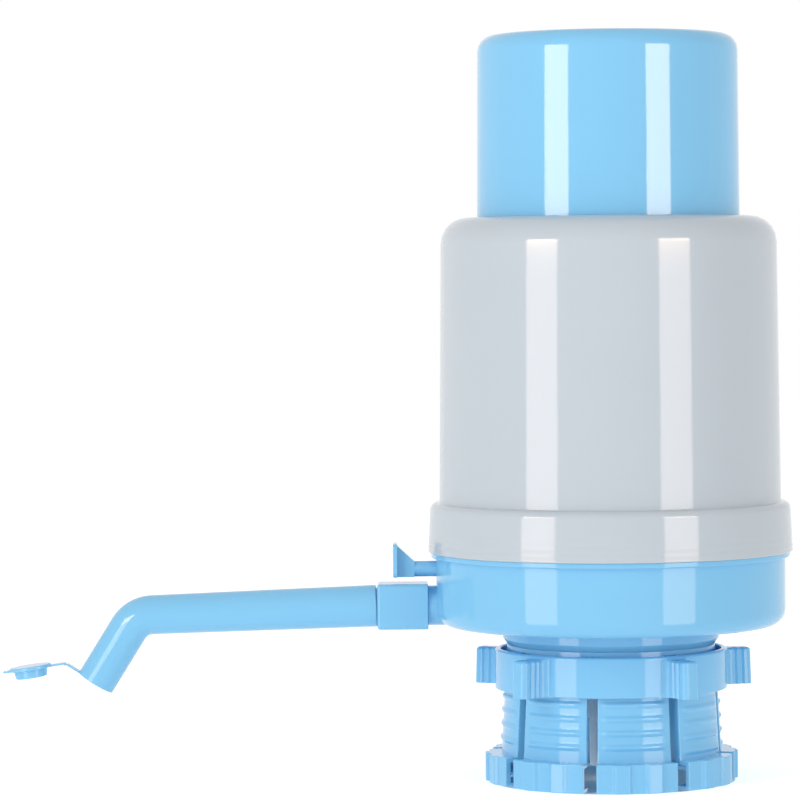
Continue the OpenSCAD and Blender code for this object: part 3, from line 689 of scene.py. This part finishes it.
class PUMP_OT_dish(bpy.types.Operator):
    """Turns the dish with its foot ring, and adds the outlet neck, the vent's boss and the holes"""

    bl_idname = "pump.dish"
    bl_label = "Dish"

    neck_bore, vent_bore, port_radius, leg_radius = 2.9, 2.2, 2.5, 4.7

    def execute(self, context):
        shell = context.scene.pump_shells
        low, top = (corner.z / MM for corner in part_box("base_dish"))
        ledge, inside = top - 2.4, DISH_FLOOR + 2
        dish = turned(
            [
                (0, DISH_FLOOR),
                (26.9, DISH_FLOOR),
                # The foot ring and its flare
                (26.9, low),
                (28.5, low, 0.2),
                (29.7, low + 1.7, 0.4),
                (29.7, DISH_FLOOR, 0.3),
                (48, DISH_FLOOR, shell.dish_edge / MM),
                (48, LIP - 1.4, 0.3),
                (49.3, LIP - 1.4, 0.3),
                (49.3, LIP, 0.2),
                # The collar that the cover's band goes over, with the ledge inside it
                (47.55, LIP),
                (47.55, top, 0.2),
                (45, top),
                (45, ledge),
                (42.8, ledge),
                (42.8, LIP),
                (45.8, LIP - 2.2),
                (45.8, inside, 2),
                (0, inside),
            ]
        )
        neck = [(5.45, -7.2), (5.45, 0, 0.2), (4.4, 0), (4.4, 5)]
        neck = self.tube(self.neck_bore, neck, NECK_END, OUTLET)
        boss = self.tube(self.vent_bore, [(4.4, -1.7), (4.4, 1.1)], 44.7, VENT)
        # The holes through the wall, the six air ports and the hole for the spigot's elbow
        bore, hole = (
            placed(round_bar(radius, -9, 9), facing_out(45, height))
            for radius, height in ((self.neck_bore, OUTLET), (self.vent_bore, VENT))
        )
        below, above = DISH_FLOOR - 1, inside + 1
        port = round_bar(self.port_radius, below, above, 36)
        placed(port, shifted(*polar(15, 30), 0))
        ports = copied_round(5, 300)
        leg = round_bar(self.leg_radius, below, above)
        bored(dish, joined([bore, hole, ports, leg]))
        seat(joined([dish, neck, boss]), "base_dish", "base")
        return {"FINISHED"}

    def tube(self, bore, outside, distance, height):
        """A stepped tube that points out to the left, from its bore and its outside."""
        ends = [(bore, outside[-1][1]), (bore, outside[0][1])]
        return placed(turned([*outside, *ends], 72), facing_out(distance, height))


class PUMP_OT_clamp_nut(bpy.types.Operator):
    """Builds the clamp nut: its ring with the inner ridge and five grooved lugs"""

    bl_idname = "pump.clamp_nut"
    bl_label = "Clamp nut"

    def execute(self, context):
        sizes = context.scene.pump_nut
        low, high = (corner.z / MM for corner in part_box("clamp_nut"))
        middle = (low + high) / 2
        ring = turned(
            [
                (30.3, low, 0.2),
                (31.9, low, 0.4),
                (31.9, high, 0.7),
                (30.3, high, 0.3),
                (30.3, middle + 1.2),
                (29.7, middle + 0.4, 0.1),
                (29.7, middle - 0.4, 0.1),
                (30.3, middle - 1.2),
            ]
        )
        seat(joined([ring, self.lugs(sizes, low, high - 0.9)]), "clamp_nut", "clamp_nut")
        return {"FINISHED"}

    def lugs(self, sizes, low, high):
        """Five lugs with two grooves in each side, the first one behind the pump."""
        half, tip = sizes.lug_width / MM / 2, 39.55
        side = [(31.0, 5.3), (31.45, 5.3), (31.8, half, 2)]
        for middle, inset in ((34.6, 0.08), (36.6, 0.2)):
            side += [
                (middle - 0.75, half - inset, 0.4),
                (middle, half - inset - sizes.groove / MM, 0.45),
                (middle + 0.75, half - inset, 0.4),
            ]
        side.append((tip, half - 0.3, 1.5))
        outline = [(x, -y, *corner) for x, y, *corner in side] + side[::-1]
        angle = math.radians(84)
        cos, sin = math.cos(angle), math.sin(angle)
        outline = [(x * cos - y * sin, x * sin + y * cos, *corner) for x, y, *corner in outline]
        prism(outline, low, high)
        # The lugs are a little wider at the bottom, where they left the mould
        pick(lambda c: c.z < low + 0.01 and c.xy.length > 33, "VERT")
        widened(1.0075)
        pick(lambda c: abs(c.z - high) < 0.01 and c.xy.length > 32.5)
        round_off(sizes.edge / MM)
        return copied_round(4, 288)


class PUMP_OT_outlet(bpy.types.Operator):
    """Builds the outlet: its square socket, the bent spout and the plug on its strap"""

    bl_idname = "pump.outlet"
    bl_label = "Outlet"

    # The socket's length and where the spout starts, then the spout's course and the strap
    socket_length, spout_start = 14, NECK_END + 14.2
    run, dip, bend, bend_angle, drop = 61.8, 1.85, 8, 56.15, 17.5
    strap_half, hinge, open_angle = 1.7, 9.7, 140

    def execute(self, context):
        sizes = context.scene.pump_outlet
        start = facing_out(self.spout_start, OUTLET, self.dip)
        turn = Matrix.Rotation(math.radians(-self.bend_angle), 4, "Y")
        bent = shifted(-self.bend, 0, self.run) @ turn @ shifted(self.bend, 0, self.drop)
        self.socket(sizes)
        self.spout(sizes, start, bent)
        self.plug(sizes, start @ bent)
        return {"FINISHED"}

    def socket(self, sizes):
        half, end = 6.25, self.socket_length
        block((-half, -half, 0), (half, half, end))
        pick(lambda c: True, along=2)
        round_off(sizes.socket_edge / MM, 6)
        pick(lambda c: c.z > end - 0.01)
        round_off(0.8, 4)
        pick(lambda c: c.z < 0.01)
        round_off(0.3)
        bpy.ops.object.mode_set(mode="OBJECT")
        body = bpy.context.object
        # Inside, a wall with a smaller hole parts the neck's end from the spout's pin
        core = [(0, -1), (4.45, -1), (4.45, 5.1), (3, 5.1), (3, 6.3), (5, 6.3)]
        core = turned([*core, (5, end + 1), (0, end + 1)], 72)
        seat(placed(bored(body, core), facing_out(NECK_END, OUTLET)), "outlet_socket", "base")

    def spout(self, sizes, start, bent):
        root, tip = 5.75, 5.38
        bpy.ops.object.select_all(action="DESELECT")
        bpy.ops.mesh.primitive_circle_add(vertices=80, radius=root * MM)
        bpy.ops.object.mode_set(mode="EDIT")
        bpy.ops.mesh.extrude_region_move(TRANSFORM_OT_translate={"value": (0, 0, self.run * MM)})
        bpy.ops.transform.resize(value=(tip / root, tip / root, 1), center_override=(0, 0, 0))
        spun(18, -self.bend_angle, (-self.bend, 0, self.run), (0, 1, 0))
        ahead = bent.to_3x3() @ Vector((0, 0, self.drop)) * MM
        bpy.ops.mesh.extrude_region_move(TRANSFORM_OT_translate={"value": ahead})
        close_up()
        bpy.ops.object.mode_set(mode="OBJECT")
        tube = modified(bpy.context.object, "SOLIDIFY", thickness=sizes.wall, offset=-1)
        bpy.ops.object.mode_set(mode="EDIT")
        pick(lambda c: abs(c.z) < 0.01 and c.xy.length > root - 0.1)
        round_off(0.3)
        back = bent.inverted()
        pick(lambda c: abs((back @ (c * MM)).z) < 0.01 * MM)
        round_off(sizes.lip / MM)
        placed(tube, start)
        # The pin that turns in the socket, with the seat of its ring
        pin = turned(
            [
                (3, 1.6),
                (3, -7.8),
                (4.95, -7.8, 0.3),
                (4.95, -4.62),
                (3.71, -4.62),
                (3.71, -3.38),
                (4.95, -3.38),
                (4.95, 0.1),
                (5.4, 0.1),
                (5.4, 1.6),
            ],
            72,
        )
        placed(pin, facing_out(self.spout_start, OUTLET))
        half, thick = self.strap_half, sizes.strap / MM
        strap = block((5.05, -half, -thick), (self.hinge - 0.33, half, 0))
        self.soft_edges(sizes)
        placed(strap, start @ bent)
        seat(joined([tube, pin, strap]), "spout", "spout")

    def plug(self, sizes, mouth):
        """The plug hangs open at rest, folded back at the strap's hinge."""
        floor, fold_radius, fold_height = 0.1, 0.28, 0.05
        half, thick = self.strap_half, sizes.strap / MM
        disc = turned(
            [
                (0, 1.1),
                (5.75, 1.1, 0.35),
                (5.75, floor, 0.2),
                (4.62, floor),
                (4.33, -2.1, 0.25),
                (3.33, -2.1, 0.25),
                (3.33, floor, 0.3),
                (0, floor),
            ],
            72,
        )
        bar = block((-7.55, -half, floor), (self.hinge, half, floor + thick))
        pick(lambda c: c.x < 0, along=2)
        round_off(1.2, 5)
        self.soft_edges(sizes)
        bpy.ops.object.mode_set(mode="OBJECT")
        fold = [(0, -half), (fold_radius, -half, 0.1), (fold_radius, half, 0.1), (0, half)]
        fold = turned(fold, 24)
        axis = shifted(self.hinge, 0, fold_height)
        placed(fold, axis @ Matrix.Rotation(math.radians(90), 4, "X"))
        opened = axis @ Matrix.Rotation(math.radians(self.open_angle), 4, "Y")
        piece = placed(joined([disc, bar, fold]), mouth @ opened @ axis.inverted())
        seat(piece, "spout_plug", "spout_plug")

    def soft_edges(self, sizes):
        """Rounds every edge of the piece that is open in edit mode."""
        bpy.ops.mesh.select_mode(type="EDGE")
        bpy.ops.mesh.select_all(action="SELECT")
        round_off(sizes.lip / MM, 2)


class PUMP_OT_vent_button(bpy.types.Operator):
    """Builds the vent button: its stem, its gusset and the thumb plate"""

    bl_idname = "pump.vent_button"
    bl_label = "Vent button"

    def execute(self, context):
        low, high = (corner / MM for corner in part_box("vent_button"))
        stem, thick, gusset = 2.15, 1.2, 4.7
        plate_x = low.x + thick
        level = low.z + stem
        reach = high.x - plate_x
        shaft = turned([(0, 0), (stem, 0, 0.3), (stem, reach), (0, reach)], 72)
        placed(shaft, facing_out(-high.x, level))
        web = prism(
            [
                (plate_x - 0.3, low.z),
                (plate_x - 0.3, high.z - thick / 2),
                (plate_x, high.z - thick / 2),
                (plate_x + gusset, level + stem, 0.4),
                (plate_x + gusset, low.z),
            ],
            -stem,
            stem,
        )
        placed(web, Matrix.Rotation(math.radians(90), 4, "X"))
        plate = block((low.x, low.y, low.z), (plate_x, high.y, high.z))
        pick(lambda c: True, along=0)
        round_off(thick, 5)
        pick(lambda c: c.x < low.x + 0.01)
        round_off(0.35)
        pick(lambda c: c.x > plate_x - 0.01)
        round_off(0.15)
        bpy.ops.object.mode_set(mode="OBJECT")
        seat(joined([plate, web, shaft]), "vent_button", "vent_button")
        return {"FINISHED"}


class PUMP_OT_inner_pieces(bpy.types.Operator):
    """Gives every carried-over piece the finish that its material slot names"""

    bl_idname = "pump.inner_pieces"
    bl_label = "Inner pieces"

    def execute(self, context):
        for part in frame["record"]["subparts"]:
            piece = frame["nodes"][part["node"]]
            piece.data.materials.clear()
            piece.data.materials.append(finish_of(part["material_slot"]))
        self.press("bellows", "cap_press", 2, COLLAR, 38)
        self.press("return_spring", "cap_press", 2, COLLAR, 38)
        self.press("vent_spring", "vent_press", 0, -34.3, 3)
        return {"FINISHED"}

    def press(self, node, joint, axis, fixed, travel):
        """Gives a piece a copy of its mesh of its own."""
        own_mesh(frame["nodes"][node])


class PUMP_OT_stage(bpy.types.Operator):
    """Adds the floor, the soft lights, the white room and the camera"""

    bl_idname = "pump.stage"
    bl_label = "Stage"

    # What the gloss mirrors on each side: a narrow strip in three parts, each with its two
    # heights in metres, its share of the full strip's brightness and its tint
    strips = (
        ("low", -0.15, 0.03, 0.52, (1, 0.75, 0.5)),
        ("mid", 0.03, 0.163, 0.66, (1, 0.88, 0.84)),
        ("top", 0.163, 0.27, 1.6, (1, 0.75, 0.55)),
    )
    strip_width, full_strip = 0.19, 0.75

    def execute(self, context):
        stage = context.scene.pump_stage
        self.floor()
        self.side("left", -47, stage.left_power, stage.strip_power)
        self.side("right", 40.5, stage.right_power, stage.strip_power)
        self.room(stage.fill)
        self.camera(stage)
        context.scene.view_settings.view_transform = "Standard"
        return {"FINISHED"}

    def side(self, name, angle, key_power, strip_power):
        """One side's softbox, which the gloss doesn't mirror, and its strip, which it does."""
        key = self.softbox("key " + name, angle, 1.0, (0.4, 1.5), key_power)
        key.visible_glossy = False
        for part, low, high, share, tint in self.strips:
            strip = self.softbox(
                f"strip {name} {part}",
                angle,
                0.5,
                (self.strip_width, high - low),
                strip_power * share * (high - low) / self.full_strip,
                (low + high) / 2,
            )
            strip.data.color = tint
            strip.visible_diffuse = False

    def floor(self):
        """A white table lit from below; inside the collet the camera sees a painted shade, where
        the table's glow is cut out.
        """
        # The painted shade on the floor under the collet reaches this far from the axis, in metres
        painted_shade_radius = 0.034
        bpy.ops.object.select_all(action="DESELECT")
        bpy.ops.mesh.primitive_plane_add(size=6, location=(0, 0, -0.00005))
        ground = bpy.context.object
        ground.name = "floor"
        bpy.ops.object.transform_apply(location=True)
        material, tree = new_material("white studio floor")
        tone = tuple(bpy.context.scene.pump_finish.floor)
        matt = add_node(tree, "ShaderNodeBsdfDiffuse", {"Color": (*tone, 1)})
        path = add_node(tree, "ShaderNodeLightPath")
        place = add_node(tree, "ShaderNodeTexCoord")
        far = add_node(
            tree, "ShaderNodeVectorMath", links={0: (place, "Object")}, operation="LENGTH"
        )
        around = add_node(
            tree, "ShaderNodeMath", {1: painted_shade_radius}, {0: (far, "Value")}, operation="GREATER_THAN"
        )
        # What it casts on the pump, stronger under the collet, and what the camera sees of its
        # glow, which is cut to a painted shade under the collet
        cast = add_node(
            tree, "ShaderNodeMapRange", {"To Min": 0.45, "To Max": 0.32}, {"Value": (around, 0)}
        )
        # Painted shade: to the camera the floor doesn't glow inside the collet
        seen = add_node(
            tree, "ShaderNodeMapRange", {"To Min": 0.0, "To Max": 0.55}, {"Value": (around, 0)}
        )
        strength = add_node(
            tree,
            "ShaderNodeMix",
            links={"Factor": (path, "Is Camera Ray"), "A": (cast, "Result"), "B": (seen, "Result")},
        )
        glow = add_node(tree, "ShaderNodeEmission", links={"Strength": (strength, "Result")})
        both = add_node(
            tree, "ShaderNodeAddShader", links={0: (matt, "BSDF"), 1: (glow, "Emission")}
        )
        add_node(tree, "ShaderNodeOutputMaterial", links={"Surface": (both, "Shader")})
        ground.data.materials.append(material)
        ground.visible_glossy = False

    def softbox(self, name, angle, distance, size, power, height=0.225):
        """A flat lamp that faces the pump's axis; its angle is counted from the front."""
        turn = math.radians(angle)
        place = Vector((math.sin(turn), -math.cos(turn), 0)) * distance + Vector((0, 0, height))
        bpy.ops.object.light_add(type="AREA", location=place)
        lamp = bpy.context.object
        lamp.name = name
        lamp.data.shape = "RECTANGLE"
        lamp.data.size, lamp.data.size_y = size
        lamp.data.energy = power
        lamp.rotation_euler = (math.radians(90), 0, turn)
        lamp.visible_camera = False
        return lamp

    def room(self, fill):
        """White to the camera, in mirrors and through clear things, and a soft light elsewhere."""
        world = bpy.data.worlds.new("white room")
        bpy.context.scene.world = world
        world.use_nodes = True
        tree = world.node_tree
        tree.nodes.clear()
        path = add_node(tree, "ShaderNodeLightPath")
        seen = add_node(
            tree,
            "ShaderNodeMath",
            links={0: (path, "Is Camera Ray"), 1: (path, "Is Transmission Ray")},
            operation="MAXIMUM",
        )
        seen = add_node(
            tree,
            "ShaderNodeMath",
            links={0: (seen, 0), 1: (path, "Is Glossy Ray")},
            operation="MAXIMUM",
        )
        white = add_node(tree, "ShaderNodeBackground", {"Color": (1, 1, 1, 1), "Strength": 1.0})
        soft = add_node(tree, "ShaderNodeBackground", {"Color": (1, 1, 1, 1), "Strength": fill})
        mix = add_node(
            tree,
            "ShaderNodeMixShader",
            links={0: (seen, 0), 1: (soft, "Background"), 2: (white, "Background")},
        )
        add_node(tree, "ShaderNodeOutputWorld", links={"Surface": (mix, "Shader")})

    def camera(self, stage):
        place = Vector((-stage.camera_side, -stage.camera_distance, stage.camera_height))
        bpy.ops.object.camera_add(location=place)
        camera = bpy.context.object
        camera.name = "camera"
        camera.data.lens = stage.lens
        camera.data.sensor_width = 36
        look = Matrix.Rotation(math.radians(90) - stage.pitch, 4, "X")
        camera.matrix_world = Matrix.Translation(place) @ look @ Matrix.Rotation(stage.roll, 4, "Z")
        bpy.context.scene.camera = camera


class PUMP_PT_sidebar(bpy.types.Panel):
    """Sizes, finishes and steps of the pump"""

    bl_idname = "PUMP_PT_sidebar"
    bl_label = "Jug Pump"
    bl_space_type = "VIEW_3D"
    bl_region_type = "UI"
    bl_category = "Jug Pump"

    def draw(self, context):
        for operator in PIECES:
            self.layout.operator(operator.bl_idname)
        for group in (getattr(context.scene, name) for name in GROUPS):
            for name in group.bl_rna.properties.keys():
                if name not in {"rna_type", "name"}:
                    self.layout.prop(group, name)


GROUPS = {
    "pump_shells": ShellSettings,
    "pump_collet": ColletSettings,
    "pump_nut": NutSettings,
    "pump_outlet": OutletSettings,
    "pump_finish": FinishSettings,
    "pump_stage": StageSettings,
}
PIECES = (
    PUMP_OT_inner_pieces,
    PUMP_OT_shells,
    PUMP_OT_dish,
    PUMP_OT_collet,
    PUMP_OT_clamp_nut,
    PUMP_OT_outlet,
    PUMP_OT_vent_button,
    PUMP_OT_stage,
)
CLASSES = (*GROUPS.values(), *PIECES, PUMP_PT_sidebar)


def register():
    for cls in CLASSES:
        bpy.utils.register_class(cls)
    for name, group in GROUPS.items():
        setattr(bpy.types.Scene, name, bpy.props.PointerProperty(type=group))


def unregister():
    for name in GROUPS:
        delattr(bpy.types.Scene, name)
    for cls in reversed(CLASSES):
        bpy.utils.unregister_class(cls)


def main():
    register()
    bpy.ops.pump.inner_pieces()
    bpy.ops.pump.shells()
    bpy.ops.pump.dish()
    bpy.ops.pump.collet()
    bpy.ops.pump.clamp_nut()
    bpy.ops.pump.outlet()
    bpy.ops.pump.vent_button()
    bpy.ops.pump.stage()


if __name__ == "__main__":
    main()
